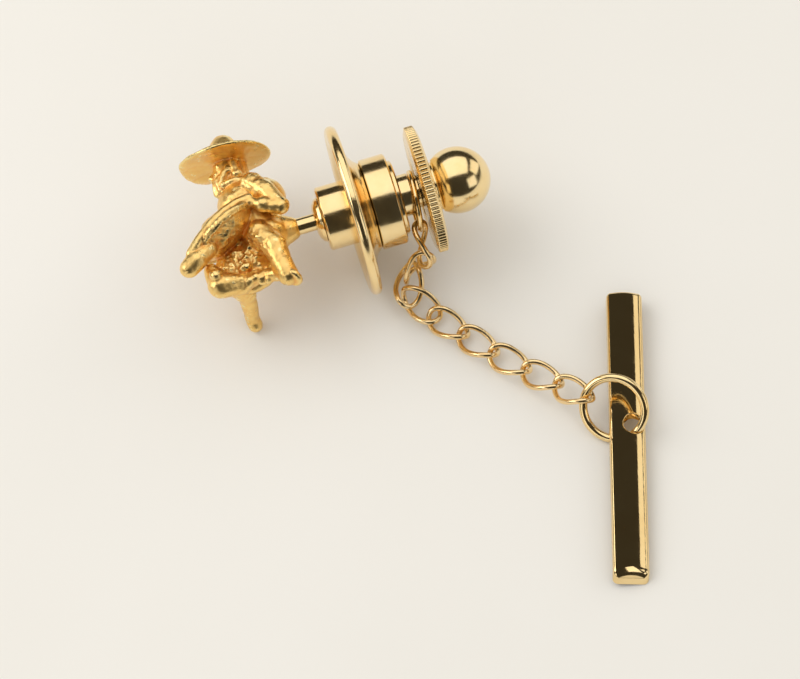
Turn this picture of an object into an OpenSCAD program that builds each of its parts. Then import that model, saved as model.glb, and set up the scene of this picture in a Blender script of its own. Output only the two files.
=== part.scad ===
// Tie tack: a cast prospector on a post, a ball-lock clutch, a curb chain and a toggle bar.
// +X runs along the post towards the pull knob, +Z is up. The origin is where the post's axis
// meets the garment face of the clutch's flange.

/* [Flange] */
// Diameter of the flange that presses on the cloth
flange_d = 11.3; // [10.6:0.1:12]
// Thickness of the flange's rounded rim
flange_t = 0.75; // [0.65:0.05:0.85]

/* [Nose and barrel] */
// Diameter of the nose that stands out towards the garment
nose_d = 4.2; // [3.9:0.1:4.5]
// Length of the nose in front of the flange
nose_l = 2.1; // [1.9:0.1:2.2]
// Diameter of the barrel
barrel_d = 6.0; // [5.6:0.1:6.4]
// Axial place of the barrel's rear edge
barrel_x = 2.85; // [2.8:0.05:3]
// Diameter of the end cap's boss
cap_d = 4.9; // [4.4:0.1:5]

/* [Pull end] */
// Diameter of the knurled disc
disc_d = 8.4; // [8:0.1:9]
// Thickness of the knurled disc
disc_t = 0.85; // [0.7:0.05:1]
// Number of knurls
knurls = 90; // [60:2:110]
// Diameter of the ball knob
knob_d = 4.34; // [4:0.1:4.8]

/* [Post] */
// Diameter of the post
post_d = 1.1; // [1:0.02:1.12]
// Axial place of the post's tip
post_tip_x = 3.6; // [3:0.1:3.7]

/* [Chain] */
// Wire diameter of the chain links
link_wire = 0.36; // [0.3:0.01:0.37]
// Outside length of a chain link
link_l = 3.32; // [3.3:0.01:3.34]
// Outside width of a chain link
link_w = 2.05; // [2:0.01:2.1]
// Wire diameter of the ring that holds the toggle bar
ring_wire = 0.52; // [0.44:0.02:0.54]
// Outside diameter of that ring
ring_d = 4.6; // [4.56:0.01:4.62]

/* [Toggle bar] */
// Width of the toggle bar
bar_w = 2.3; // [2.2:0.1:2.6]
// Height of the crown of its domed top above the bar's axis
bar_top = 0.5; // [0.45:0.05:0.55]
// Thickness of its sheet
bar_wall = 0.3; // [0.25:0.05:0.3]

/* [Hidden] */
$fn = 64;

gold = "#d9a441";
rich_gold = "#e0a02c";
steel = "#9a9a96";

// Clutch, along the axis
nose_x = -nose_l;
seat_t = 0.05;
seam = 0.02;
flange_dish = 0.4;
post_r = post_d / 2;
shank_r = 1.7;
ferrule_bore_r = post_r + 0.05;
ferrule_r = 0.91;
nose_bore_r = 0.95;
cavity_r = 1.05;
cone_x = -0.1;
cone_end_x = 1.1;
cone_end_r = 1.365;
barrel_front_x = 0.45;
barrel_step_x = 1.2;
boss_r = 2.75;
cap_x = 3.15;
cap_flange_x = 2.7;

// Balls between post and cone
ball_r = 0.3;
ball_x = 0.45;
ball_gap = 0.015;
ball_path_r = post_r + ball_r + ball_gap;

// Plunger
cage_x = 0.05;
cage_r = 0.95;
cage_bore_r = post_r + 0.07;
cup_x = 1.15;
cup_end_x = 1.75;
cup_r = 1.9;
stem_r = 1.37;
neck_r = 1.05;
spigot_r = 0.78;
fit = 0.04;
stem_bore_r = 0.62;
groove_x = 3.93;
disc_x = 4.45;
knob_x = 6.98;

// Spring between the cage's cup and the cap
spring_wire = 0.12;
spring_r = 1.62;
spring_turns = 3.5;
spring_gap = 0.02;

// Ring that hangs on the stem, tipped so that its low side clears the knurled disc
stem_ring_x = 3.97;
stem_ring_r = 1.85;
stem_ring_wire = 0.38;
stem_ring_drop = 0.55;
hang = 50;
ring_tip = 5;

// Points where the links meet, from the stem ring to the bar ring
JOINTS = [[3.81, -1.83, -1.54], [3.57, -3.36, -2.67], [2.44, -3.34, -4.35],
          [1.94, -4.48, -4.62], [3.10, -6.33, -5.09], [4.50, -8.20, -5.10],
          [6.00, -10.23, -5.00], [7.64, -12.15, -4.88], [9.23, -14.07, -4.42],
          [10.71, -16.02, -3.75]];
// Which way each link's flat side faces
FACES = [[0.99, -0.15, 0], [-0.24, 0.96, 0.17], [-0.2, -0.1, 1], [-0.6, 0.4, 0.7],
         [0, 0, 1], [0, 0, 1], [0, 0, 1], [0, 0, 1], [0, 0, 1]];
link_twist = -45;
link_square = 0.85;
link_steps = 28;
link_sides = 8;
first_link_slack = 0.46;

// Bar ring and toggle bar; the bar's own axes are across, along from its far end, and up
ring_c = [12.12, -17.10, -3.93];
ring_n = [-0.42, -0.57, 0.71];
bar_near = [9.715, -28.54, -5.02];
bar_far = [15.19, -9.115, -4.39];
bar_roll = 9;
bar_dome_r = 2;
bar_edge_r = 0.3;
bar_foot = 0.45;
bar_end = 0.4;
hole_across = 0.38;
hole_along = 9.69;
hole_r = 0.68;

// Figure: local axes are forward, its left, and up
figure_turn = 169;
figure_fn = 16;

function unit(v) = v / norm(v);
function across(v, n) = unit(n - (n * v) * v);

// A closed tube through points P, with N the side that each ring starts from
module closed_tube(P, N, r, sides) {
    count = len(P);
    rings = [for (i = [0:count - 1])
        let (t = unit(P[(i + 1) % count] - P[(i + count - 1) % count]),
             n = across(t, N[i]), b = cross(t, n))
        for (k = [0:sides - 1]) P[i] + r * (cos(360 * k / sides) * n + sin(360 * k / sides) * b)];
    quads = [for (i = [0:count - 1]) for (k = [0:sides - 1])
        [i * sides + k, ((i + 1) % count) * sides + k,
         ((i + 1) % count) * sides + (k + 1) % sides, i * sides + (k + 1) % sides]];
    polyhedron([for (p = rings) p], [for (q = quads) [q[3], q[2], q[1], q[0]]]);
}

function power(v) = sign(v) * pow(abs(v), link_square);

// A twisted oval link whose ends stand square to its neighbours' ends
module link(i) {
    step = JOINTS[i] - JOINTS[i - 1];
    e = unit(step);
    a = (link_l - link_wire) / 2;
    half_w = (link_w - link_wire) / 2;
    c = i == 1 ? JOINTS[0] + e * (a - first_link_slack) : (JOINTS[i] + JOINTS[i - 1]) / 2;
    n = across(e, FACES[i - 1]);
    v = cross(n, e);
    turns = [for (k = [0:link_steps - 1]) 360 * (k + 0.5) / link_steps];
    path = [for (t = turns) let (x = a * power(cos(t)), y = half_w * power(sin(t)),
            w = link_twist * x / a) c + x * e + y * (cos(w) * v + sin(w) * n)];
    sides = [for (t = turns) let (w = link_twist * power(cos(t))) cos(w) * n - sin(w) * v];
    color(gold) closed_tube(path, sides, link_wire / 2, link_sides);
}

// A ring of round wire, facing along n
module wire_ring(c, n, r, wire) {
    m = unit(n);
    translate(c) rotate([0, acos(m[2]), atan2(m[1], m[0])])
        rotate_extrude() translate([r, 0]) circle(wire / 2, $fn = 32);
}

// A turned piece: its profile is a list of [axial place, radius]
module turned(profile) {
    rotate([0, 90, 0]) rotate([0, 0, 90]) rotate_extrude()
        polygon([for (p = profile) [p[1], p[0]]]);
}

// The face that meets the cloth is flat; the back flares from a rounded rim up to the barrel
module flange_plate() {
    rim_r = flange_d / 2;
    bead = flange_t / 2;
    bead_x = bead - flange_dish;
    flare_x = barrel_step_x - 0.12;
    round_rim = [for (a = [-90:15:90]) [bead_x + bead * sin(a), rim_r - bead + bead * cos(a)]];
    back = [[0, nose_d / 2 + seam], [0, 3.5], [-0.06, 4], [0.1 - flange_dish, 4.6]];
    flare = [[bead_x + 0.31, rim_r - 0.8], [bead_x + 0.34, 4.4], [0.42, 3.9], [0.56, 3.5], [0.76, 3.15],
             [0.95, 2.95], [flare_x, 2.86]];
    color(gold) turned(concat([[seat_t, shank_r], [seat_t, nose_d / 2 + seam]], back, round_rim, flare,
                              [[flare_x, boss_r + seam], [barrel_front_x, boss_r + seam],
                               [barrel_front_x, shank_r]]));
}

module nose_cup() {
    color(gold) turned([[nose_x, nose_bore_r], [nose_x, nose_d / 2 - 0.12],
                        [nose_x + 0.12, nose_d / 2], [seat_t, nose_d / 2], [seat_t, shank_r],
                        [cone_end_x, shank_r], [cone_end_x, cone_end_r],
                        [cone_x, cavity_r], [-0.5, cavity_r], [-0.5, nose_bore_r]]);
}

module clutch_barrel() {
    r = barrel_d / 2;
    color(gold) turned([[barrel_front_x, shank_r], [barrel_front_x, boss_r], [barrel_step_x - 0.1, boss_r],
                        [barrel_step_x, r], [barrel_x - 0.1, r], [barrel_x, r - 0.1],
                        [barrel_x, 2.6], [barrel_step_x, 2.6], [barrel_step_x, 2.35],
                        [barrel_front_x + 0.3, 2.35], [barrel_front_x + 0.3, shank_r]]);
}

module barrel_cap() {
    bore = stem_r + 0.05;
    color(gold) turned([[cap_flange_x, bore], [cap_flange_x, 2.6], [barrel_x, 2.6],
                        [barrel_x, cap_d / 2], [cap_x - 0.1, cap_d / 2],
                        [cap_x, cap_d / 2 - 0.1], [cap_x, bore]]);
}

module coil_spring() {
    steps = 14;
    sides = 6;
    x0 = cup_end_x + spring_wire / 2 + spring_gap;
    x1 = cap_flange_x - spring_wire / 2 - spring_gap;
    count = spring_turns * steps;
    rings = [for (i = [0:count]) let (a = 360 * i / steps, x = x0 + (x1 - x0) * i / count)
        for (k = [0:sides - 1]) let (b = 360 * k / sides, r = spring_r + spring_wire / 2 * cos(b))
            [x + spring_wire / 2 * sin(b), r * cos(a), r * sin(a)]];
    walls = [for (i = [0:count - 1]) for (k = [0:sides - 1])
        [i * sides + k, i * sides + (k + 1) % sides,
         (i + 1) * sides + (k + 1) % sides, (i + 1) * sides + k]];
    ends = [[for (k = [0:sides - 1]) sides - 1 - k],
            [for (k = [0:sides - 1]) count * sides + k]];
    color(steel) polyhedron(rings, [for (f = concat(walls, ends)) [for (j = [len(f) - 1:-1:0]) f[j]]]);
}

module guide_ferrule() {
    head_r = 1.5;
    color(gold) turned([[nose_x - 0.02, ferrule_bore_r], [nose_x - 0.5, ferrule_bore_r],
                        [nose_x - 0.5, 0.8], [nose_x - 0.42, 1.1], [nose_x - 0.25, 1.35],
                        [nose_x - 0.02, head_r], [nose_x - 0.02, ferrule_r],
                        [-0.47, ferrule_r], [-0.47, 1.0], [-0.38, 1.0], [-0.38, ferrule_bore_r]]);
}

module post() {
    color(gold) turned([[-5.2, 0], [-5.2, post_r], [post_tip_x - 1.4, post_r],
                        [post_tip_x - 1.32, post_r - 0.07], [post_tip_x - 1.16, post_r - 0.07],
                        [post_tip_x - 1.08, post_r], [post_tip_x - 0.8, post_r],
                        [post_tip_x - 0.1, 0.12], [post_tip_x, 0]]);
}

module ball_cage() {
    hole_r = ball_r + fit;
    recess_r = 1.15;
    color(steel) difference() {
        turned([[cage_x, cage_bore_r], [cage_x, cage_r], [cup_x, cage_r], [cup_x, 1.45],
                [1.5, 1.45], [1.5, cup_r], [cup_end_x, cup_r], [cup_end_x, spigot_r + fit],
                [1.5, spigot_r + fit], [1.5, recess_r], [cup_x + 0.15, recess_r],
                [cup_x + 0.15, cage_bore_r]]);
        for (a = [0, 120, 240]) rotate([a, 0, 0]) translate([ball_x, 0, 0]) cylinder(1.5, hole_r, hole_r);
    }
}

module lock_ball(i) {
    color(steel) rotate([120 * (i - 1), 0, 0]) translate([ball_x, 0, ball_path_r]) sphere(ball_r, $fn = 32);
}

module pull_stem() {
    color(gold) turned([[1.33, stem_bore_r], [1.33, 1.08], [1.46, 1.08], [1.46, spigot_r],
                        [cup_end_x + 0.04, spigot_r], [cup_end_x + 0.04, 1.2], [1.95, stem_r],
                        [groove_x - 0.06, stem_r], [groove_x, neck_r], [disc_x, neck_r],
                        [disc_x, 0.9], [6, 0.9], [6, 0], [post_tip_x + 0.5, 0],
                        [post_tip_x + 0.2, stem_bore_r]]);
}

module knurled_disc() {
    tip_r = disc_d / 2;
    root_r = tip_r - 0.14;
    flat_r = root_r - 0.05;
    chamfer = 0.12;
    outline = [for (i = [0:knurls - 1]) for (p = [[0, root_r], [0.3, tip_r], [0.6, tip_r], [0.9, root_r]])
        let (a = 360 * (i + p[0]) / knurls) [p[1] * cos(a), p[1] * sin(a)]];
    color(gold) difference() {
        union() {
            translate([disc_x + chamfer, 0, 0]) rotate([0, 90, 0])
                linear_extrude(disc_t - 2 * chamfer) polygon(outline);
            turned([[disc_x, 0], [disc_x, flat_r - 0.1], [disc_x + 0.1, flat_r],
                    [disc_x + disc_t - 0.1, flat_r], [disc_x + disc_t, flat_r - 0.1],
                    [disc_x + disc_t, 0]]);
        }
        translate([disc_x - 1, 0, 0]) rotate([0, 90, 0]) cylinder(3, 0.9, 0.9);
    }
}

module ball_knob() {
    face_x = disc_x + disc_t;
    color(gold) difference() {
        union() {
            translate([knob_x, 0, 0]) sphere(knob_d / 2);
            turned([[face_x, 0], [face_x, 1.75], [face_x + 0.25, 1.55], [knob_x - 1, 1.6], [knob_x - 1, 0]]);
        }
        translate([face_x - 2, 0, 0]) rotate([0, 90, 0]) cylinder(2, 3, 3);
        translate([face_x - 1, 0, 0]) rotate([0, 90, 0]) cylinder(7 - face_x, 0.9, 0.9);
    }
}

module stem_ring() {
    down = [0, -sin(hang), -cos(hang)];
    n = cos(ring_tip) * [1, 0, 0] + sin(ring_tip) * down;
    color(gold) wire_ring([stem_ring_x, 0, 0] + stem_ring_drop * down, n, stem_ring_r, stem_ring_wire);
}

module bar_ring() {
    color(gold) wire_ring(ring_c, ring_n, (ring_d - ring_wire) / 2, ring_wire);
}

// Height of the domed top at a distance x from the bar's middle
function dome(x) = bar_top - bar_dome_r + sqrt(bar_dome_r * bar_dome_r - x * x);

// A stamped bar: domed on top, hollow below, closed at its ends, with a hole for the ring
module toggle_bar() {
    run = bar_far - bar_near;
    length = norm(run);
    half = bar_w / 2;
    inner = half - bar_wall;
    flat = half - bar_edge_r;
    edge_z = dome(flat) - bar_edge_r;
    edge = [for (t = [0:15:75]) [flat + bar_edge_r * cos(t), edge_z + bar_edge_r * sin(t)]];
    left_edge = [for (i = [len(edge) - 1:-1:0]) [-edge[i][0], edge[i][1]]];
    top = [for (i = [6:-1:-6]) [flat * i / 6, dome(flat * i / 6)]];
    roof = [for (i = [6:-1:-6]) [inner * i / 6, dome(inner * i / 6) - bar_wall]];
    color(gold) translate(bar_far)
        rotate([0, 0, -atan2(run[0], run[1])]) rotate([asin(run[2] / length), 0, 0])
            rotate([0, bar_roll, 0]) difference() {
                rotate([90, 0, 0]) linear_extrude(length)
                    polygon(concat([[half, -bar_foot]], edge, top, left_edge, [[-half, -bar_foot]]));
                translate([0, -bar_end, 0]) rotate([90, 0, 0]) linear_extrude(length - 2 * bar_end)
                    polygon(concat([[inner, -bar_foot - 0.1]], roof, [[-inner, -bar_foot - 0.1]]));
                translate([hole_across, -hole_along, -0.05]) cylinder(1, hole_r, hole_r);
            }
}

// A limb: a taper between two balls
module limb(p, pr, q, qr) {
    hull() {
        translate(p) sphere(pr, $fn = figure_fn);
        translate(q) sphere(qr, $fn = figure_fn);
    }
}

// The cast figure: a prospector in a wide hat, kneeling over his pan
module prospector() {
    color(rich_gold) rotate([0, 0, figure_turn]) rotate([90, 0, 0]) union() {
        // Hat: a brim and a round crown
        translate([8.06, 0, 4.78]) rotate_extrude($fn = 32)
            polygon([[0, -0.1], [1.5, -0.22], [2.4, -0.15], [2.95, 0.1], [2.9, 0.24],
                     [2.3, 0.08], [1.35, 0.05], [1.2, 1.1], [0.8, 1.7], [0, 1.9]]);
        // Head with its nose, and the beard
        limb([7.9, 0, 4.0], 1.05, [8.1, 0, 3.3], 0.9);
        limb([8.7, 0, 3.9], 0.3, [9.15, 0, 3.55], 0.22);
        limb([8.4, 0, 3.1], 0.75, [8.65, 0, 2.2], 0.4);
        // Neck, shoulders and back
        limb([7.5, 0, 3.0], 0.8, [7.0, 0, 1.6], 1.5);
        limb([6.6, 0, 1.5], 1.6, [5.7, 0, -0.9], 1.6);
        limb([6.6, 0.1, 2.2], 1.1, [5.3, 0, 1.2], 1.35);
        // His left arm, bent back and then forward to the pan
        limb([6.2, 1.4, 2.0], 0.8, [4.6, 1.7, 0.0], 0.6);
        limb([4.6, 1.7, 0.0], 0.6, [6.7, 2.0, 0.4], 0.45);
        // His right arm
        limb([7.2, -1.4, 2.0], 0.8, [9.3, -1.8, 0.9], 0.55);
        limb([9.3, -1.8, 0.9], 0.55, [9.6, -1.7, -1.0], 0.4);
        // Pan
        translate([8.15, 0, -0.96]) rotate([0, 37, 0]) rotate_extrude($fn = 32)
            polygon([[0, -0.75], [1.6, -0.75], [2.45, -0.15], [2.6, 0.1], [2.5, 0.25],
                     [2.3, 0.12], [1.5, -0.45], [0, -0.45]]);
        // His left leg: thigh, shin and boot
        limb([5.8, 0.7, -1.2], 1.25, [10.4, 1.4, -3.3], 0.62);
        limb([10.6, 1.5, -3.5], 0.58, [8.8, 1.1, -3.6], 0.7);
        limb([8.9, 0.9, -4.1], 0.8, [5.6, 1.0, -4.3], 0.6);
        limb([5.1, 1.0, -1.6], 0.8, [4.7, 1.0, -4.2], 0.65);
        limb([5.6, 1.0, -4.3], 0.6, [4.4, 1.0, -4.9], 0.6);
        // His right leg, reaching down and to the side
        limb([6.4, -0.6, -1.6], 1.2, [8.6, -2.0, -3.4], 0.85);
        limb([8.6, -2.0, -3.4], 0.85, [7.5, -4.3, -4.2], 0.6);
        limb([7.5, -4.3, -4.2], 0.6, [7.3, -5.1, -4.7], 0.5);
    }
}

flange_plate();
nose_cup();
clutch_barrel();
barrel_cap();
coil_spring();
guide_ferrule();
post();
prospector();
ball_cage();
lock_ball(1);  // lock_ball_1
lock_ball(2);  // lock_ball_2
lock_ball(3);  // lock_ball_3
pull_stem();
knurled_disc();
ball_knob();
stem_ring();
link(1);  // link_1
link(2);  // link_2
link(3);  // link_3
link(4);  // link_4
link(5);  // link_5
link(6);  // link_6
link(7);  // link_7
link(8);  // link_8
link(9);  // link_9
bar_ring();
toggle_bar();
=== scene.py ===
"""Looks of the tie tack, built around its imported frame.

Lengths are in millimetres until a mesh is made.
"""

import math

import bpy
import numpy as np
from mathutils import Matrix, Vector, noise


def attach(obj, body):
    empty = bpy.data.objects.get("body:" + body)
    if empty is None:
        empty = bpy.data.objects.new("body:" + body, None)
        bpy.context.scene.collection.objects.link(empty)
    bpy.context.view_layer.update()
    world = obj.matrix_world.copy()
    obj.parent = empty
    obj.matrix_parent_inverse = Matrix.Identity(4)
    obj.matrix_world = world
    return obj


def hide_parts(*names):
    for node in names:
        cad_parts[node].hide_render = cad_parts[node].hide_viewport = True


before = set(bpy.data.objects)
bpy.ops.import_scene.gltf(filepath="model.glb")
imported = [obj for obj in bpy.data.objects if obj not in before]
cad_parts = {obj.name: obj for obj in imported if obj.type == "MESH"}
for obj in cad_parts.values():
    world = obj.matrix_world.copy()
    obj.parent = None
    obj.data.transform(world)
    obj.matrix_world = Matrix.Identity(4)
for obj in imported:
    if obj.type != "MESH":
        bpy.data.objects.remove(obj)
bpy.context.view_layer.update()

MM = 0.001
TABLE_Z = -5.65


def unit(v):
    """The vector made one long."""
    v = np.asarray(v, float)
    return v / np.linalg.norm(v)


# ---------------------------------------------------------------- materials


class Nodes:
    """A short way to write a node tree."""

    def __init__(self, name):
        self.material = bpy.data.materials.new(name)
        self.material.use_nodes = True
        self.tree = self.material.node_tree
        self.shader = self.tree.nodes["Principled BSDF"]
        self.place = self.add("ShaderNodeTexCoord").outputs["Object"]

    def add(self, kind, **values):
        node = self.tree.nodes.new(kind)
        for key, value in values.items():
            if key in node.inputs:
                node.inputs[key].default_value = value
            else:
                setattr(node, key, value)
        return node

    def link(self, a, b):
        self.tree.links.new(a, b)

    def noise(self, scale, detail=4.0, stretch=None):
        """Noise whose scale counts features to a millimetre."""
        node = self.add("ShaderNodeTexNoise", Scale=1.0, Detail=detail, Roughness=0.6)
        mapping = self.add("ShaderNodeMapping")
        steps = stretch or (1, 1, 1)
        mapping.inputs["Scale"].default_value = [scale / MM * s for s in steps]
        self.link(self.place, mapping.inputs["Vector"])
        self.link(mapping.outputs["Vector"], node.inputs["Vector"])
        return node.outputs["Fac"]

    def ramp(self, value, stops):
        node = self.add("ShaderNodeValToRGB")
        node.color_ramp.elements[0].position, node.color_ramp.elements[0].color = stops[0]
        node.color_ramp.elements[1].position, node.color_ramp.elements[1].color = stops[-1]
        for position, color in stops[1:-1]:
            node.color_ramp.elements.new(position).color = color
        self.link(value, node.inputs["Fac"])
        return node.outputs["Color"]

    def span(self, value, low, high, start=0.3, stop=0.7):
        node = self.add("ShaderNodeMapRange")
        node.inputs["From Min"].default_value = start
        node.inputs["From Max"].default_value = stop
        node.inputs["To Min"].default_value = low
        node.inputs["To Max"].default_value = high
        self.link(value, node.inputs["Value"])
        return node.outputs["Result"]

    def bump(self, value, height, below=None):
        node = self.add("ShaderNodeBump", Strength=1.0, Distance=height * MM)
        self.link(value, node.inputs["Height"])
        if below is not None:
            self.link(below, node.inputs["Normal"])
        return node.outputs["Normal"]


def rgb(r, g, b):
    return (r, g, b, 1.0)


def polished(name, light, deep, rough, orange_peel=0.004):
    """Polished plate: a slight drift of colour, gloss worn in patches, and fine rubbing marks."""
    scratch = 0.0012
    n = Nodes(name)
    n.shader.inputs["Metallic"].default_value = 1.0
    n.link(n.ramp(n.noise(0.35), [(0.3, deep), (0.7, light)]), n.shader.inputs["Base Color"])
    n.link(n.span(n.noise(1.3, 6.0), *rough), n.shader.inputs["Roughness"])
    marks = n.bump(n.noise(9.0, 3.0, (1, 0.12, 1)), scratch)
    n.link(n.bump(n.noise(0.9, 2.0), orange_peel, marks), n.shader.inputs["Normal"])
    return n.material


def cast_gold():
    """Cast gold: satin and grainy in the hollows, rubbed glossy on the high places; its colour is painted
    shade, darker and more orange in the hollows, and painted highlight, paler on the high places.
    """
    hollow, ridge = 0.46, 0.56
    n = Nodes("cast_gold")
    n.shader.inputs["Metallic"].default_value = 1.0
    pointiness = n.add("ShaderNodeNewGeometry").outputs["Pointiness"]
    # Painted shade and highlight: by pointiness, the colour below runs from dark orange in the hollows to
    # pale gold on the high places.
    height = n.span(pointiness, 0.0, 1.0, hollow, ridge)
    color = n.ramp(height, [(0.0, rgb(0.90, 0.46, 0.15)), (0.45, rgb(1.0, 0.68, 0.24)),
                            (1.0, rgb(1.0, 0.83, 0.40))])
    drift = n.ramp(n.noise(0.5), [(0.3, rgb(0.90, 0.86, 0.80)), (0.7, rgb(1, 1, 1))])
    mix = n.add("ShaderNodeMix", data_type="RGBA", blend_type="MULTIPLY")
    mix.inputs["Factor"].default_value = 1.0
    n.link(color, mix.inputs["A"])
    n.link(drift, mix.inputs["B"])
    n.link(mix.outputs["Result"], n.shader.inputs["Base Color"])
    gloss = n.add("ShaderNodeMath", operation="ADD")
    n.link(n.span(pointiness, 0.44, 0.17, hollow, ridge), gloss.inputs[0])
    n.link(n.span(n.noise(1.6, 5.0), -0.06, 0.10), gloss.inputs[1])
    n.link(gloss.outputs["Value"], n.shader.inputs["Roughness"])
    grain = n.bump(n.noise(7.0, 5.0), 0.016)
    n.link(n.bump(n.noise(2.2, 3.0), 0.03, grain), n.shader.inputs["Normal"])
    return n.material


def steel():
    """Drawn steel for the spring, the cage and the balls inside the clutch."""
    n = Nodes("steel")
    n.shader.inputs["Metallic"].default_value = 1.0
    n.link(n.ramp(n.noise(0.8), [(0.3, rgb(0.46, 0.45, 0.43)), (0.7, rgb(0.60, 0.59, 0.57))]),
           n.shader.inputs["Base Color"])
    n.link(n.span(n.noise(3.0), 0.22, 0.34), n.shader.inputs["Roughness"])
    n.link(n.bump(n.noise(12.0, 2.0, (0.1, 1, 1)), 0.0015), n.shader.inputs["Normal"])
    return n.material


def paper():
    """The pale surface that the tie tack lies on."""
    n = Nodes("pale_surface")
    n.link(n.ramp(n.noise(0.03, 3.0), [(0.3, rgb(0.81, 0.79, 0.74)), (0.7, rgb(0.83, 0.81, 0.765))]),
           n.shader.inputs["Base Color"])
    n.shader.inputs["Roughness"].default_value = 0.85
    n.shader.inputs["Specular IOR Level"].default_value = 0.2
    n.link(n.bump(n.noise(2.0, 4.0), 0.004), n.shader.inputs["Normal"])
    return n.material


GOLD = polished("polished_gold", rgb(0.97, 0.78, 0.44), rgb(0.92, 0.66, 0.30), (0.11, 0.21))
LINK_GOLD = polished("chain_gold", rgb(0.97, 0.76, 0.43), rgb(0.91, 0.65, 0.32), (0.14, 0.26))
BAR_GOLD = polished("bar_gold", rgb(0.93, 0.72, 0.38), rgb(0.87, 0.64, 0.31), (0.04, 0.14), 0.006)
CAST = cast_gold()
STEEL = steel()


# ---------------------------------------------------------------- mesh making


def piece(name, points, faces, material, body, nodes, slot="polished_gold"):
    """A smooth mesh piece from points in millimetres, riding on a body and standing for CAD nodes."""
    mesh = bpy.data.meshes.new(name)
    mesh.from_pydata((np.asarray(points, float) * MM).tolist(), [], [list(map(int, f)) for f in faces])
    mesh.validate()
    mesh.polygons.foreach_set("use_smooth", [True] * len(mesh.polygons))
    mesh.update()
    obj = bpy.data.objects.new(name, mesh)
    bpy.context.scene.collection.objects.link(obj)
    mesh.materials.append(material)
    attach(obj, body)
    if nodes:
        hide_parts(*nodes)
    return obj


def ring_faces(count, sides, closed=True):
    """Quads between successive rings of points."""
    rows = range(count if closed else count - 1)
    return [(i * sides + k, i * sides + (k + 1) % sides,
             (i + 1) % count * sides + (k + 1) % sides, (i + 1) % count * sides + k)
            for i in rows for k in range(sides)]


NEARLY_STRAIGHT = math.radians(158)
CORNER_STEPS = 5


def rounded(profile, fillet):
    """Rounds the corners of a closed profile, with a support point each side to keep the flats flat."""
    hold = 0.025
    count = len(profile)
    out = []
    for i, p in enumerate(profile):
        p = np.array(p, float)
        a, b = np.array(profile[i - 1], float), np.array(profile[(i + 1) % count], float)
        to_a, to_b = a - p, b - p
        la, lb = np.linalg.norm(to_a), np.linalg.norm(to_b)
        turn = math.acos(max(-1, min(1, float(to_a @ to_b) / (la * lb))))
        if p[1] < 1e-6 or turn > NEARLY_STRAIGHT:
            out.append(p)
            continue
        reach = min(fillet / math.tan(turn / 2), 0.42 * la, 0.42 * lb)
        start, end = p + to_a / la * reach, p + to_b / lb * reach
        spare_a = min(hold, 0.05 * la)
        spare_b = min(hold, 0.05 * lb)
        out.append(start + to_a / la * spare_a)
        for k in range(CORNER_STEPS + 1):
            t = k / CORNER_STEPS
            out.append((1 - t) ** 2 * start + 2 * t * (1 - t) * p + t * t * end)
        out.append(end + to_b / lb * spare_b)
    return out


def curve(start, points):
    """Points of a smooth line through the given ones, after its start."""
    steps = 5
    line = [start, start, *points, points[-1]]
    out = []
    for a, b, c, d in zip(line, line[1:], line[2:], line[3:]):
        a, b, c, d = (np.array(p, float) for p in (a, b, c, d))
        for k in range(1, steps + 1):
            t = k / steps
            out.append(0.5 * (2 * b + (c - a) * t + (2 * a - 5 * b + 4 * c - d) * t * t
                              + (3 * b - a - 3 * c + d) * t ** 3))
    return out


def lathe(profile, segments, fillet):
    """Points and faces of a piece turned about X, from a closed profile of (place, radius)."""
    line = rounded(profile, fillet) if fillet else [np.array(p, float) for p in profile]
    points, starts = [], []
    for x, r in line:
        starts.append((len(points), r < 1e-6))
        if r < 1e-6:
            points.append((x, 0, 0))
        else:
            for k in range(segments):
                a = 2 * math.pi * k / segments
                points.append((x, r * math.cos(a), r * math.sin(a)))
    faces = []
    for i in range(len(line)):
        (p, p_pole), (q, q_pole) = starts[i], starts[(i + 1) % len(line)]
        if p_pole and q_pole:
            continue
        for k in range(segments):
            m = (k + 1) % segments
            if p_pole:
                faces.append((p, q + m, q + k))
            elif q_pole:
                faces.append((p + k, p + m, q))
            else:
                faces.append((p + k, p + m, q + m, q + k))
    return np.array(points), faces


def tube(path, frames, radius, sides=24):
    """A closed tube of wire along a loop, with the frame's side and up vectors at each point."""
    angles = np.linspace(0, 2 * math.pi, sides, endpoint=False)
    points = np.concatenate([p + radius * (np.cos(angles)[:, None] * n + np.sin(angles)[:, None] * b)
                             for p, (n, b) in zip(path, frames)])
    return points, ring_faces(len(path), sides)


def wire_ring(centre, normal, radius, wire):
    """A closed ring of round wire; the radius is to the middle of the wire."""
    steps, sides = 192, 32
    normal = unit(normal)
    side = unit(np.cross(normal, [0.3, 0.9, 0.1]))
    up = np.cross(normal, side)
    angles = np.linspace(0, 2 * math.pi, steps, endpoint=False)
    spokes = [math.cos(a) * side + math.sin(a) * up for a in angles]
    path = [np.array(centre) + radius * s for s in spokes]
    return tube(path, [(s, normal) for s in spokes], wire / 2, sides)


# ---------------------------------------------------------------- camera, light and surface

CAMERA_RIGHT = Vector((0.95778, -0.26993, -0.09891))
CAMERA_UP = Vector((0.28420, 0.83726, 0.46715))
CAMERA_BACK = Vector((-0.04328, -0.47555, 0.87863))
CAMERA_TARGET = Vector((0.51, -7.78, -4.19)) * MM
CAMERA_AWAY = 300 * MM
VIEW_WIDTH = 51.6 * MM


def make_camera():
    """A long lens that looks down on the table from the front."""
    data = bpy.data.cameras.new("camera")
    data.sensor_width = 36
    data.lens = data.sensor_width * CAMERA_AWAY / VIEW_WIDTH
    data.clip_start, data.clip_end = 0.01, 10
    camera = bpy.data.objects.new("camera", data)
    turn = Matrix((CAMERA_RIGHT, CAMERA_UP, CAMERA_BACK)).transposed().to_4x4()
    camera.matrix_world = Matrix.Translation(CAMERA_TARGET + CAMERA_BACK * CAMERA_AWAY) @ turn
    bpy.context.scene.collection.objects.link(camera)
    bpy.context.scene.camera = camera


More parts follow.
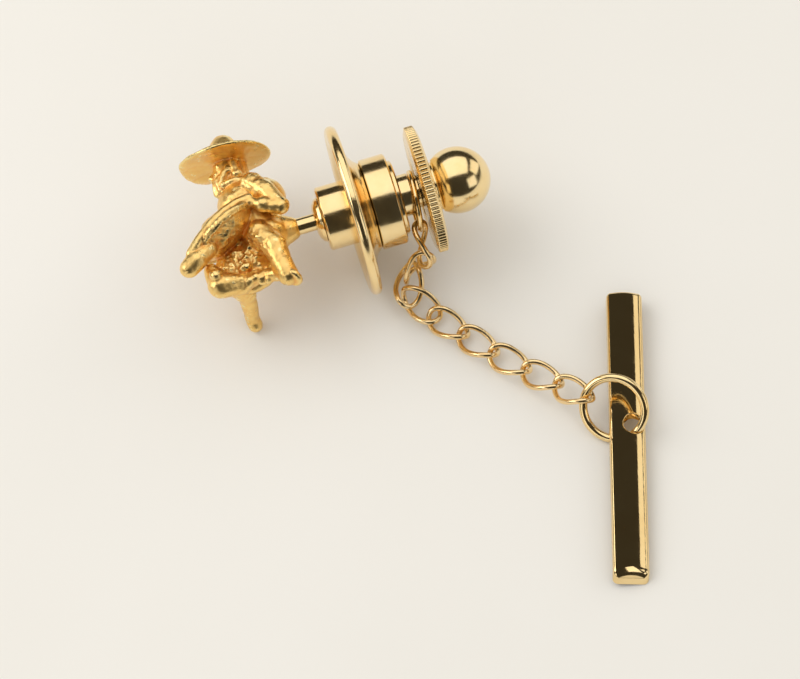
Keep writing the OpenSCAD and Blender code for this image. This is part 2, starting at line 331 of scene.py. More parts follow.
def softbox(name, place, aim, size, radiance, seen=True, on_floor=True, color=(1.0, 0.97, 0.93)):
    """A soft area light of even brightness, turned to face a point.

    seen says whether the gold reflects it, and on_floor whether it brightens the surface.
    """
    data = bpy.data.lights.new(name, "AREA")
    data.shape = "RECTANGLE"
    data.size, data.size_y = size[0] * MM, size[1] * MM
    data.energy = radiance * math.pi * data.size * data.size_y
    data.color = color
    light = bpy.data.objects.new(name, data)
    back = (Vector(place) - Vector(aim)).normalized()
    side = Vector((1, 0, 0))
    side = (side - side.dot(back) * back).normalized()
    light.matrix_world = Matrix.Translation(Vector(place) * MM) @ Matrix(
        (side, back.cross(side), back)).transposed().to_4x4()
    light.visible_glossy, light.visible_diffuse = seen, on_floor
    bpy.context.scene.collection.objects.link(light)
    return light


def make_world():
    """An even pale room for the surface, which the gold sees as a dark one."""
    world = bpy.data.worlds.new("studio")
    world.use_nodes = True
    tree = world.node_tree
    pale, out = tree.nodes["Background"], tree.nodes["World Output"]
    pale.inputs["Color"].default_value = rgb(1.0, 0.985, 0.955)
    pale.inputs["Strength"].default_value = 0.82
    dark = tree.nodes.new("ShaderNodeBackground")
    dark.inputs["Color"].default_value = rgb(0.042, 0.038, 0.030)
    path = tree.nodes.new("ShaderNodeLightPath")
    mix = tree.nodes.new("ShaderNodeMixShader")
    tree.links.new(path.outputs["Is Glossy Ray"], mix.inputs["Fac"])
    tree.links.new(pale.outputs["Background"], mix.inputs[1])
    tree.links.new(dark.outputs["Background"], mix.inputs[2])
    tree.links.new(mix.outputs["Shader"], out.inputs["Surface"])
    bpy.context.scene.world = world


def make_studio():
    """The surface under the tie tack, the lights round it and the world."""
    half = 900
    points = [(-half, -half, TABLE_Z), (half, -half, TABLE_Z), (half, half, TABLE_Z), (-half, half, TABLE_Z)]
    mesh = bpy.data.meshes.new("surface")
    mesh.from_pydata([tuple(c * MM for c in p) for p in points], [], [(0, 1, 2, 3)])
    mesh.materials.append(paper())
    floor = bpy.data.objects.new("surface", mesh)
    bpy.context.scene.collection.objects.link(floor)
    middle = (4, -9, -4)
    softbox("key", (-150, 95, 205), middle, (220, 240), 1.7, seen=False)
    softbox("right", (240, 45, 95), middle, (120, 200), 1.0, color=(1.0, 0.95, 0.86))
    softbox("left", (-215, 60, 135), middle, (150, 230), 2.5, on_floor=False)
    softbox("front_left", (-190, -150, 70), middle, (130, 100), 1.2, on_floor=False)
    softbox("front_right", (190, -150, 100), middle, (150, 140), 1.0, on_floor=False)
    make_world()
    bpy.context.scene.view_settings.view_transform = "Standard"


make_camera()
make_studio()

# ---------------------------------------------------------------- clutch

NOSE_X = -2.1
POST_R = 0.55
SEAT = 0.05
SHANK_R = 1.7
FLANGE_BACK = 0.45


def clutch():
    """What stands still in the clutch: flange, nose, barrel, cap and ferrule. Then the tack's post."""
    rim, bead, dish, boss = 5.65, 0.375, 0.4, 2.77
    bead_x = bead - dish
    round_rim = [(bead_x + bead * math.sin(math.radians(a)), rim - bead + bead * math.cos(math.radians(a)))
                 for a in range(-90, 91, 10)]
    back = curve((0, 3.5), [(-0.06, 4.0), (0.1 - dish, 4.6), round_rim[0]])
    flare = curve(round_rim[-1], [(bead_x + 0.31, rim - 0.8), (bead_x + 0.34, 4.4), (0.42, 3.9), (0.56, 3.5),
                                  (0.76, 3.15), (0.95, 2.95), (1.08, 2.86)])
    flange = [(SEAT, SHANK_R), (SEAT, 2.12), (0, 2.12), (0, 3.5), *back, *round_rim[1:], *flare,
              (1.08, boss), (FLANGE_BACK, boss), (FLANGE_BACK, SHANK_R)]
    piece("flange", *lathe(flange, 224, 0.03), GOLD, "clutch", ["flange_plate"])
    nose = [(NOSE_X, 0.95), (NOSE_X, 1.98), (NOSE_X + 0.12, 2.1), (SEAT, 2.1), (SEAT, SHANK_R),
            (1.1, SHANK_R), (1.1, 1.365), (-0.1, 1.05), (-0.5, 1.05), (-0.5, 0.95)]
    piece("nose", *lathe(nose, 144, 0.08), GOLD, "clutch", ["nose_cup"])
    barrel = [(FLANGE_BACK, SHANK_R), (FLANGE_BACK, 2.75), (1.1, 2.75), (1.2, 3.0), (2.75, 3.0), (2.85, 2.9),
              (2.85, 2.6), (1.2, 2.6), (1.2, 2.35), (0.75, 2.35), (0.75, SHANK_R)]
    piece("barrel", *lathe(barrel, 176, 0.06), GOLD, "clutch", ["clutch_barrel"])
    bore = 1.42
    cap = [(2.7, bore), (2.7, 2.6), (2.85, 2.6), (2.85, 2.45), (3.05, 2.45), (3.15, 2.35), (3.15, bore)]
    piece("cap", *lathe(cap, 160, 0.04), GOLD, "clutch", ["barrel_cap"])
    shoulder, front = NOSE_X - 0.02, NOSE_X - 0.5
    ferrule = [(shoulder, 0.6), (front, 0.6), (front, 0.8), (NOSE_X - 0.42, 1.1), (NOSE_X - 0.25, 1.35),
               (shoulder, 1.5), (shoulder, 0.91), (-0.47, 0.91), (-0.47, 1.0), (-0.38, 1.0), (-0.38, 0.6)]
    piece("ferrule", *lathe(ferrule, 128, 0.05), GOLD, "ferrule", ["guide_ferrule"])
    tip = 3.6
    post = [(-5.2, 0), (-5.2, POST_R), (tip - 1.4, POST_R), (tip - 1.32, 0.48), (tip - 1.16, 0.48),
            (tip - 1.08, POST_R), (tip - 0.8, POST_R), (tip - 0.1, 0.12), (tip, 0)]
    piece("tack_post", *lathe(post, 96, 0.04), GOLD, "tack", ["post"])


def pull_end():
    """Stem, knurled disc and ball, which pull back together."""
    stem = [(1.33, 0.62), (1.33, 1.08), (1.46, 1.08), (1.46, 0.78), (1.79, 0.78), (1.79, 1.2), (1.95, 1.37),
            (3.87, 1.37), (3.93, 1.05), (4.45, 1.05), (4.45, 0.9), (6.0, 0.9), (6.0, 0), (4.1, 0),
            (3.8, 0.62)]
    piece("plunger_stem", *lathe(stem, 112, 0.03), GOLD, "knob", ["pull_stem"])
    knurled()
    ball = [(5.3, 0.9), (5.3, 1.75), (5.42, 1.62), (5.62, 1.58)]
    centre, r, steps = 6.98, 2.17, 48
    start = math.acos((centre - 5.66) / r)
    for k in range(steps):
        a = start + (math.pi - start) * k / steps
        ball.append((centre - r * math.cos(a), r * math.sin(a)))
    ball.append((centre + r, 0))
    ball += [(7.0, 0), (7.0, 0.9)]
    piece("knob_ball", *lathe(ball, 144, 0), GOLD, "knob", ["ball_knob"])


def knurled():
    """A disc with rounded knurls whose ends die away into its chamfered edges."""
    knurls, steps = 90, 10
    x0, x1, tip, root = 4.45, 5.30, 4.2, 4.06
    rows = [(x0, 0.9, 0), (x0, 3.2, 0), (x0, 3.78, 0), (x0 + 0.015, 3.86, 0), (x0 + 0.06, 3.94, 0),
            (x0 + 0.09, 3.98, 0.1), (x0 + 0.12, 4.02, 0.5), (x0 + 0.16, root, 0.9), (x0 + 0.2, root, 1),
            (x1 - 0.2, root, 1), (x1 - 0.16, root, 0.9), (x1 - 0.12, 4.02, 0.5), (x1 - 0.09, 3.98, 0.1),
            (x1 - 0.06, 3.94, 0), (x1 - 0.015, 3.86, 0), (x1, 3.78, 0), (x1, 3.2, 0), (x1, 0.9, 0)]
    sides = knurls * steps
    points = []
    for x, r, share in rows:
        for k in range(sides):
            a = 2 * math.pi * k / sides
            wave = abs(math.sin(math.pi * k / steps)) ** 0.7
            radius = r + share * (tip - root) * wave
            points.append((x, radius * math.cos(a), radius * math.sin(a)))
    piece("disc", points, ring_faces(len(rows), sides), GOLD, "knob", ["knurled_disc"])


# ---------------------------------------------------------------- chain

# Where neighbouring links meet, and the way the flat side of each link faces
JOINTS = np.array([[3.81, -1.83, -1.54], [3.57, -3.36, -2.67], [2.44, -3.34, -4.35], [1.94, -4.48, -4.62],
                   [3.10, -6.33, -5.09], [4.50, -8.20, -5.10], [6.00, -10.23, -5.00], [7.64, -12.15, -4.88],
                   [9.23, -14.07, -4.42], [10.71, -16.02, -3.75]])
FACES = np.array([[0.99, -0.15, 0], [-0.24, 0.96, 0.17], [-0.2, -0.1, 1], [-0.6, 0.4, 0.7]] + [[0, 0, 1]] * 5)
LINK_L, LINK_W, LINK_WIRE = 3.32, 2.05, 0.36
HALF_L, HALF_W = (LINK_L - LINK_WIRE) / 2, (LINK_W - LINK_WIRE) / 2
LINK_TWIST = math.radians(-45)
FIRST_LINK_OVERLAP = 0.46
NECK_RING_R, NECK_RING_WIRE, NECK_RING_DROP, NECK_X = 1.85, 0.38, 0.55, 3.97
NECK_HANG, NECK_TIP = math.radians(50), math.radians(5)
BAR_RING_R, BAR_RING_WIRE = 2.04, 0.55
BAR_RING_CENTRE, BAR_RING_FACING = (12.12, -17.10, -3.93), (-0.42, -0.57, 0.71)


def fuller(wave):
    """Makes a loop squarer than an ellipse, as a bent link is."""
    return np.sign(wave) * np.abs(wave) ** 0.85


def link_loop(i):
    """The wire's path round link i, and its side and up vectors at each point."""
    angles = np.linspace(0, 2 * math.pi, 120, endpoint=False)
    along = unit(JOINTS[i] - JOINTS[i - 1])
    middle = (JOINTS[i] + JOINTS[i - 1]) / 2
    if i == 1:
        middle = JOINTS[0] + along * (HALF_L - FIRST_LINK_OVERLAP)
    face = unit(FACES[i - 1] - (FACES[i - 1] @ along) * along)
    side = np.cross(face, along)
    x, y = HALF_L * fuller(np.cos(angles)), HALF_W * fuller(np.sin(angles))
    twist = LINK_TWIST * x / HALF_L
    cos, sin = np.cos(twist)[:, None], np.sin(twist)[:, None]
    path = middle + x[:, None] * along + y[:, None] * (cos * side + sin * face)
    ups = cos * face - sin * side
    frames = []
    for k in range(len(path)):
        t = unit(path[(k + 1) % len(path)] - path[k - 1])
        n = unit(ups[k] - (ups[k] @ t) * t)
        frames.append((n, np.cross(t, n)))
    return path, frames


def chain():
    """Nine twisted links between the ring on the stem's neck and the ring in the bar."""
    for i in range(1, 10):
        piece(f"chain_link_{i}", *tube(*link_loop(i), LINK_WIRE / 2), LINK_GOLD, f"link_{i}", [f"link_{i}"])
    down = np.array([0, -math.sin(NECK_HANG), -math.cos(NECK_HANG)])
    facing = math.cos(NECK_TIP) * np.array([1, 0, 0]) + math.sin(NECK_TIP) * down
    centre = np.array([NECK_X, 0, 0]) + NECK_RING_DROP * down
    piece("neck_ring", *wire_ring(centre, facing, NECK_RING_R, NECK_RING_WIRE), GOLD,
          "stem_ring", ["stem_ring"])
    piece("toggle_ring", *wire_ring(BAR_RING_CENTRE, BAR_RING_FACING, BAR_RING_R, BAR_RING_WIRE), GOLD,
          "bar_ring", ["bar_ring"])


# ---------------------------------------------------------------- toggle bar

BAR_NEAR = np.array([9.715, -28.54, -5.02])
BAR_FAR = np.array([15.19, -9.115, -4.39])
BAR_ROLL = math.radians(9)
BAR_HALF, BAR_TOP, BAR_FOOT, BAR_WALL, BAR_DOME = 1.15, 0.5, -0.45, 0.3, 2.0
BAR_CORNER, LEAST_CORNER = 0.32, 0.06
HOLE_W, HOLE_B, HOLE_R, HOLE_LIP, HOLE_TAPER = 0.38, 10.5, 0.68, 0.09, 0.02
END_SLOPE, END_ROUND = 0.56, 0.36
INSIDE_NEAR, INSIDE_FAR = 0.8, 0.62
# Angles round a quarter of a circle, without its start, for the rounded edges
QUARTER = np.linspace(0, math.pi / 2, 7)[1:]


def bar_section(inset):
    """Dense outline of the bar's section, from its left foot over the dome to its right foot."""
    half, top = BAR_HALF - inset, BAR_TOP - inset
    edge = max(BAR_CORNER - inset, LEAST_CORNER)
    flat, dome = half - edge, BAR_DOME - inset

    def height(w):
        return top - dome + math.sqrt(dome * dome - w * w)

    shoulder = height(flat) - edge
    right = [(w, height(w)) for w in np.linspace(0, flat, 60)]
    tilt = math.asin(flat / dome)
    right += [(flat + edge * math.sin(a), shoulder + edge * math.cos(a))
              for a in np.linspace(tilt, math.pi / 2, 24)[1:]]
    right += [(half, z) for z in np.linspace(right[-1][1], BAR_FOOT, 12)[1:]]
    left = [(-w, z) for w, z in right[:0:-1]]
    return np.array(left + right)


class Section:
    """The section as a smooth curve of one parameter from -1 to 1, with its outward normal."""

    TOP_SHARE = 0.86

    def __init__(self, inset):
        self.p = bar_section(inset)
        step = np.linalg.norm(np.diff(self.p, axis=0), axis=1)
        self.s = np.concatenate([[0], np.cumsum(step)])
        self.s = self.s / self.s[-1] * 2 - 1
        tangent = np.gradient(self.p, self.s, axis=0)
        tangent /= np.linalg.norm(tangent, axis=1)[:, None]
        self.n = np.stack([-tangent[:, 1], tangent[:, 0]], axis=1)

    def at(self, s):
        w, z = np.interp(s, self.s, self.p[:, 0]), np.interp(s, self.s, self.p[:, 1])
        n = np.array([np.interp(s, self.s, self.n[:, 0]), np.interp(s, self.s, self.n[:, 1])])
        return w, z, n / np.linalg.norm(n)

    def find(self, w):
        """Parameter at which the top has this place across the bar."""
        top = np.abs(self.s) < self.TOP_SHARE
        return float(np.interp(w, self.p[top, 0], self.s[top]))


class Shell:
    """Outer or inner skin of the bar: a grid over (section, length) with a round hole let into it."""

    FOOT_COLS, PATCH_COLS = 4, 44
    END_ROWS, PATCH_ROWS = 39, 24
    PATCH_SHARE, PATCH_REACH = 0.78, 1.15

    def __init__(self, inset, near, far, slope, points, faces, flip):
        self.section, self.near, self.far, self.slope = Section(inset), near, far, slope
        self.points, self.faces, self.flip = points, faces, flip
        share = self.PATCH_SHARE
        self.cols = np.concatenate([np.linspace(-1, -share, self.FOOT_COLS + 1)[:-1],
                                    np.linspace(-share, share, self.PATCH_COLS + 1),
                                    np.linspace(share, 1, self.FOOT_COLS + 1)[1:]])
        a, b = HOLE_B - self.PATCH_REACH, HOLE_B + self.PATCH_REACH
        self.rows = np.concatenate([np.linspace(near, a, self.END_ROWS + 1),
                                    np.linspace(a, b, self.PATCH_ROWS + 1)[1:],
                                    np.linspace(b, far, self.END_ROWS + 1)[1:]])
        self.row_a, self.row_b = self.END_ROWS, self.END_ROWS + self.PATCH_ROWS
        self.col_a, self.col_b = self.FOOT_COLS, self.FOOT_COLS + self.PATCH_COLS

    def point(self, s, b, depth=0.0):
        """A place on the skin, or below it, with the length shortened where the near end slopes."""
        w, z, n = self.section.at(s)
        lift = self.slope * (z - BAR_FOOT)
        share = (b - self.near) / (self.far - self.near)
        b = self.near + lift + share * (self.far - self.near - lift)
        return (w - depth * n[0], b, z - depth * n[1])

    def add(self, p):
        self.points.append(p)
        return len(self.points) - 1

    def face(self, *f):
        self.faces.append(tuple(reversed(f)) if self.flip else f)

    def in_patch(self, j, i):
        """Whether a square of the grid is left out for the hole's rings."""
        return self.row_a <= j < self.row_b and self.col_a <= i < self.col_b

    def build(self):
        """The grid without its patch, and the loop of grid points round the patch."""
        rows, cols = len(self.rows), len(self.cols)
        grid = [[None] * cols for _ in range(rows)]
        for j in range(rows):
            for i in range(cols):
                inside = self.row_a < j < self.row_b and self.col_a < i < self.col_b
                if not inside:
                    grid[j][i] = self.add(self.point(self.cols[i], self.rows[j]))
        for j in range(rows - 1):
            for i in range(cols - 1):
                if not self.in_patch(j, i):
                    self.face(grid[j][i], grid[j][i + 1], grid[j + 1][i + 1], grid[j + 1][i])
        self.grid = grid
        loop = [(self.row_a, i) for i in range(self.col_a, self.col_b)]
        loop += [(j, self.col_b) for j in range(self.row_a, self.row_b)]
        loop += [(self.row_b, i) for i in range(self.col_b, self.col_a, -1)]
        loop += [(j, self.col_a) for j in range(self.row_b, self.row_a, -1)]
        self.loop = loop
        return self

    def hole(self, radius):
        """Rings of points from the patch's edge in to the hole, then its rounded lip."""
        rings, near_middle = 9, 0.4
        centre = self.section.find(HOLE_W)
        per_mm = (self.section.find(near_middle) - self.section.find(-near_middle)) / (2 * near_middle)
        outer = [np.array([(self.cols[i] - centre) / per_mm, self.rows[j] - HOLE_B]) for j, i in self.loop]
        last = [self.grid[j][i] for j, i in self.loop]
        first = radius + HOLE_LIP
        for r in range(1, rings + 1):
            t = 1 - (1 - r / rings) ** 1.6
            ring = []
            for p in outer:
                q = unit(p) * first
                m = p * (1 - t) + q * t
                ring.append(self.add(self.point(centre + m[0] * per_mm, HOLE_B + m[1])))
            self.join(last, ring)
            last = ring
        inward = -1 if self.flip else 1
        for a in QUARTER:
            reach = first - HOLE_LIP * math.sin(a)
            depth = HOLE_LIP * (1 - math.cos(a)) * inward
            ring = []
            for p in outer:
                q = unit(p)
                s, b = centre + q[0] * reach * per_mm, HOLE_B + q[1] * reach
                ring.append(self.add(self.point(s, b, depth)))
            self.join(last, ring)
            last = ring
        return last

    def join(self, a, b):
        n = len(a)
        for k in range(n):
            m = (k + 1) % n
            self.face(a[k], a[m], b[m], b[k])

    def cap_ends(self, round_r):
        """Rounded edge and flat face at each end. The near end leans, and its feet stay level."""
        for last, sign in ((self.grid[0], 1), (self.grid[-1], -1)):
            for a in QUARTER:
                down, out = round_r * (1 - math.cos(a)), round_r * math.sin(a)
                ring = []
                for s in self.cols:
                    w, z, n = self.section.at(s)
                    height = z if abs(s) == 1 else z - down * n[1]
                    start = self.near + self.slope * (height - BAR_FOOT) if sign == 1 else self.far
                    ring.append(self.add((w - down * n[0], start - sign * out, height)))
                for i in range(len(self.cols) - 1):
                    self.face(*(ring[i], ring[i + 1], last[i + 1], last[i])[::sign])
                last = ring
            self.face(*last[::-sign])


def toggle_bar():
    """A hollow bar, open underneath, whose two skins meet in the hole and along the feet."""
    length = float(np.linalg.norm(BAR_FAR - BAR_NEAR))
    points, faces = [], []
    outer = Shell(0.0, END_ROUND, length - END_ROUND, END_SLOPE, points, faces, False).build()
    inner = Shell(BAR_WALL, INSIDE_NEAR, length - INSIDE_FAR, 0.0, points, faces, True).build()
    lip, under = outer.hole(HOLE_R), inner.hole(HOLE_R - HOLE_TAPER)
    for k in range(len(lip)):
        m = (k + 1) % len(lip)
        faces.append((lip[k], lip[m], under[m], under[k]))
    outer.cap_ends(END_ROUND)
    faces += [tuple(inner.grid[0]), tuple(reversed(inner.grid[-1]))]
    o, n = outer.grid, inner.grid
    for j in range(len(outer.rows) - 1):
        faces.append((o[j + 1][0], n[j + 1][0], n[j][0], o[j][0]))
        faces.append((o[j][-1], n[j][-1], n[j + 1][-1], o[j + 1][-1]))
    along = unit(BAR_FAR - BAR_NEAR)
    flat = unit(np.cross(along, [0, 0, 1]))
    up = np.cross(flat, along)
    across = math.cos(BAR_ROLL) * flat - math.sin(BAR_ROLL) * up
    rise = math.sin(BAR_ROLL) * flat + math.cos(BAR_ROLL) * up
    world = [BAR_NEAR + w * across + b * along + z * rise for w, b, z in points]
    piece("toggle", world, faces, BAR_GOLD, "toggle_bar", ["toggle_bar"], "bar_gold")


# ---------------------------------------------------------------- figure

FORWARD = np.array([-0.98163, 0.19081, 0.0])
LEFT = np.array([0.0, 0.0, 1.0])
UP = np.array([0.19081, 0.98163, 0.0])
CAST_VOXEL = 0.062


class Clay:
    """Shapes in the figure's own axes (forward, left, up), to be melted into one casting."""

    def __init__(self):
        self.points, self.faces = [], []

    def loft(self, points, rings, sides):
        """Adds a form made of rings of points, closed at both ends."""
        base = len(self.points)
        faces = ring_faces(rings, sides, False)
        faces += [tuple(reversed(range(sides))), tuple(range(len(points) - sides, len(points)))]
        self.points += [tuple(p) for p in points]
        self.faces += [tuple(base + i for i in f) for f in faces]

    def limb(self, p, pr, q, qr, sides=20, caps=7):
        """A taper between two balls."""
        p, q = np.array(p, float), np.array(q, float)
        length = np.linalg.norm(q - p)
        along = (q - p) / length
        side = unit(np.cross(along, [0.31, 0.87, 0.4]))
        other = np.cross(along, side)
        lean = math.asin(max(-0.95, min(0.95, (pr - qr) / length)))
        rings = [(p, pr, a) for a in np.linspace(-math.pi / 2, lean, caps)]
        rings += [(q, qr, a) for a in np.linspace(lean, math.pi / 2, caps)]
        points = []
        for c, r, a in rings:
            for k in range(sides):
                b = 2 * math.pi * k / sides
                spoke = math.cos(b) * side + math.sin(b) * other
                points.append(c + r * (math.cos(a) * spoke + math.sin(a) * along))
        self.loft(points, len(rings), sides)

    def egg(self, centre, radii, turn=(0, 0, 0)):
        """An ellipsoid, turned about its own forward, left and up axes in that order."""
        rot = np.array(Matrix.Rotation(turn[0], 3, "X") @ Matrix.Rotation(turn[1], 3, "Y")
                       @ Matrix.Rotation(turn[2], 3, "Z"))
        rows, sides = 14, 24
        points = []
        for j in range(rows + 1):
            a = -math.pi / 2 + math.pi * j / rows
            for k in range(sides):
                b = 2 * math.pi * k / sides
                v = np.array([math.cos(a) * math.cos(b), math.cos(a) * math.sin(b), math.sin(a)]) * radii
                points.append(np.array(centre) + rot @ v)
        self.loft(points, rows + 1, sides)

    def dish(self, centre, profile, tilt, wave=None, sides=96):
        """A turned shape about a tilted axis; wave moves a point by its angle and radius."""
        rot = np.array(Matrix.Rotation(tilt[0], 3, "X") @ Matrix.Rotation(tilt[1], 3, "Y"))
        points = []
        for r, h in profile:
            for k in range(sides):
                b = 2 * math.pi * k / sides
                dr, dh = wave(b, r) if wave else (0, 0)
                v = np.array([(r + dr) * math.cos(b), (r + dr) * math.sin(b), h + dh])
                points.append(np.array(centre) + rot @ v)
        self.loft(points, len(profile), sides)


HAT_CROWN_R, HAT_BRIM_R = 1.3, 2.9


def hat_wave(angle, radius):
    """The brim droops in front and on the left, and curls up a little on the right."""
    share = max(0.0, (radius - HAT_CROWN_R) / (HAT_BRIM_R - HAT_CROWN_R))
    front, left = math.cos(angle), math.sin(angle)
    side = 0.62 if left > 0 else 1.1 * max(front, 0) - 0.55
    droop = 0.30 * max(front, 0) ** 2 + side * left * left
    ripple = 0.10 * math.cos(3 * angle + 0.8)
    return 0.12 * share * math.cos(2 * angle + 0.6), share ** 1.5 * (ripple - droop)


def model_hat(clay):
    """A wide soft brim with a rolled edge, a dented round crown and a band."""
    brim = [(0.02, -0.25), (0.9, -0.28), (1.5, -0.24), (2.2, -0.16), (2.65, -0.02), (2.86, 0.1), (2.93, 0.2),
            (2.86, 0.28), (2.7, 0.26), (2.3, 0.12), (1.6, 0.04), (1.3, 0.08), (1.14, 0.45), (0.96, 0.9),
            (0.8, 1.35), (0.56, 1.68), (0.28, 1.78), (0.02, 1.74)]
    clay.dish((8.06, 0.0, 4.82), brim, (0.0, 0.05), hat_wave)
    band = [(0.02, 0.0), (1.26, 0.0), (1.33, 0.09), (1.26, 0.2), (0.02, 0.2)]
    clay.dish((8.06, 0.0, 4.95), band, (0.0, 0.05))


def model_head(clay):
    """Skull, jaw and nose, then brows, cheeks, ears and hair on both sides, and the nape."""
    clay.egg((7.88, 0, 4.05), (1.04, 0.86, 1.12))
    clay.egg((8.12, 0, 3.45), (0.82, 0.66, 0.72))
    clay.limb((8.78, 0, 3.98), 0.13, (9.08, 0, 3.62), 0.17)
    clay.egg((8.98, 0.12, 3.58), (0.12, 0.1, 0.09))
    clay.egg((8.98, -0.12, 3.58), (0.12, 0.1, 0.09))
    for side in (1, -1):
        clay.limb((8.78, 0.1 * side, 4.12), 0.1, (8.5, 0.62 * side, 4.14), 0.13)
        clay.egg((8.60, 0.36 * side, 3.66), (0.24, 0.24, 0.2))
        clay.egg((7.86, 0.86 * side, 3.78), (0.2, 0.1, 0.3), (0, 0.25, 0))
        clay.limb((7.5, 0.7 * side, 4.2), 0.3, (7.3, 0.66 * side, 3.4), 0.36)
    clay.limb((7.2, 0, 4.3), 0.55, (7.0, 0, 3.3), 0.6)


def model_beard(clay):
    """Beard and moustache in tufts."""
    for k in range(-3, 4):
        out = abs(k)
        root, end = (8.55 - 0.05 * out, 0.16 * k, 3.2), (8.72 - 0.1 * out, 0.13 * k, 2.34 + 0.06 * out)
        clay.limb(root, 0.26, end, 0.15)
    clay.limb((8.35, 0, 3.05), 0.62, (8.5, 0, 2.5), 0.42)
    for side in (1, -1):
        clay.limb((8.93, 0.05 * side, 3.38), 0.12, (8.72, 0.42 * side, 3.14), 0.1)
        clay.limb((8.05, 0.72 * side, 3.6), 0.2, (8.4, 0.5 * side, 2.9), 0.26)


def model_body(clay):
    """Neck, scarf, chest, back and belly."""
    clay.limb((7.5, 0, 3.1), 0.72, (7.0, 0, 2.0), 1.1)
    folds = 14
    turns = [2 * math.pi * k / folds for k in range(folds + 1)]
    scarf = [(7.5 + 0.95 * math.cos(a), 0.98 * math.sin(a), 2.72 - 0.2 * math.cos(a)) for a in turns]
    for p, q in zip(scarf, scarf[1:]):
        clay.limb(p, 0.24, q, 0.24, 12, 4)
    clay.egg((6.9, 0, 1.3), (1.9, 1.62, 1.75), (0, 0.35, 0))
    clay.egg((5.75, 0, 1.55), (1.5, 1.7, 1.35), (0, 0.5, 0))
    clay.limb((6.4, 0, 0.8), 1.45, (5.75, 0, -0.9), 1.5)
    clay.egg((5.5, 0, -1.15), (1.35, 1.6, 1.1))


def model_left_arm(clay):
    """Rolled sleeve, forearm, hand, and fingers on the pan's rim."""
    clay.limb((6.35, 1.35, 2.15), 0.72, (5.3, 1.75, 1.1), 0.66)
    clay.limb((5.3, 1.75, 1.1), 0.64, (4.62, 1.85, 0.02), 0.56)
    clay.egg((4.55, 1.85, -0.05), (0.62, 0.55, 0.6))
    clay.limb((4.7, 1.9, -0.1), 0.5, (5.9, 2.05, 0.15), 0.42)
    clay.limb((5.55, 2.02, 0.05), 0.5, (5.7, 2.04, 0.09), 0.5)
    clay.limb((5.9, 2.05, 0.2), 0.34, (6.7, 2.12, 0.42), 0.3)
    for k in range(4):
        knuckle, end = (6.75, 2.2 - 0.06 * k, 0.56 - 0.2 * k), (7.25, 2.3 - 0.1 * k, 0.38 - 0.24 * k)
        clay.limb(knuckle, 0.13, end, 0.11, 12, 4)


def model_right_arm(clay):
    """The arm that reaches round in front, behind the pan."""
    clay.limb((7.0, -1.3, 2.1), 0.75, (8.75, -0.9, 0.9), 0.66)
    clay.limb((8.75, -0.9, 0.9), 0.64, (9.35, 0.1, -0.15), 0.56)
    clay.egg((9.6, 0.2, -0.7), (0.45, 0.4, 0.5))


def model_pan(clay):
    """A shallow dish, tipped away, whose thick rolled rim stands out in front of the left arm."""
    pan = [(0.02, -0.8), (1.35, -0.82), (1.55, -0.72), (2.25, -0.2), (2.34, -0.16), (2.46, -0.3),
           (2.62, -0.22), (2.72, 0.0), (2.66, 0.2), (2.5, 0.27), (2.34, 0.16), (2.2, 0.0), (1.45, -0.4),
           (0.02, -0.4)]
    clay.dish((8.2, 0.35, -0.72), pan, (math.radians(-8), math.radians(37)))
    rim_line = [(10.5, 1.75, -2.75), (9.9, 2.0, -1.95), (9.1, 2.2, -1.05), (8.2, 2.3, -0.3),
                (7.3, 2.25, 0.28), (6.5, 2.1, 0.6)]
    for p, q in zip(rim_line, rim_line[1:]):
        clay.limb(p, 0.33, q, 0.33)


def model_lap(clay):
    """Blunt toe of the left boot in front, then knees and lower body round the hollow of the lap."""
    clay.limb((9.4, 1.3, -2.3), 0.55, (10.2, 1.5, -3.15), 0.66)
    clay.limb((10.2, 1.5, -3.15), 0.68, (10.72, 1.4, -3.6), 0.62)
    clay.egg((9.1, 1.1, -4.15), (0.42, 0.36, 0.42), (0.4, 0.3, 0))
    clay.limb((9.4, 0.5, -3.5), 0.5, (8.9, 0.3, -4.4), 0.8)
    clay.limb((8.9, 0.3, -4.5), 0.85, (7.6, -0.1, -4.35), 0.7)
    clay.limb((7.6, -0.1, -4.3), 0.6, (6.3, 0.1, -4.05), 0.42)
    clay.limb((6.3, 0.1, -4.05), 0.4, (5.0, 0.7, -4.4), 0.45)
    for k in range(7):
        clay.egg((8.0 - 0.45 * k, 0.1 + 0.05 * k, -4.35 + 0.12 * math.sin(2.4 * k)),
                 (0.34, 0.4, 0.5 - 0.14 * (k % 2)), (k, 0.4 * k, 0))
    clay.egg((7.2, -0.9, -2.7), (2.1, 1.0, 1.9))
    clay.limb((6.3, -0.7, -1.5), 1.15, (8.3, -1.4, -3.4), 0.95)


def model_legs(clay):
    """Left thigh and boot at the back, the right leg down to the table, and the boss for the post."""
    clay.limb((6.1, 1.1, -1.4), 0.8, (5.15, 1.25, -2.6), 0.82)
    clay.limb((5.15, 1.25, -2.6), 0.8, (4.8, 1.15, -3.8), 0.64)
    clay.limb((4.8, 1.15, -3.9), 0.7, (4.45, 1.05, -4.75), 0.68)
    clay.dish((4.15, 1.1, -4.98), [(0.02, -0.2), (0.56, -0.2), (0.66, -0.1), (0.66, 0.14), (0.02, 0.2)],
              (0.25, math.radians(-32)), sides=40)
    clay.limb((7.9, -1.2, -3.7), 0.8, (7.5, -2.4, -3.95), 0.62)
    clay.limb((7.5, -2.4, -3.95), 0.58, (7.45, -4.6, -4.45), 0.48)
    clay.limb((7.45, -4.7, -4.45), 0.5, (7.35, -5.1, -4.75), 0.46)
    clay.limb((4.2, 0, -0.82), 0.78, (5.2, 0, -0.9), 1.2)


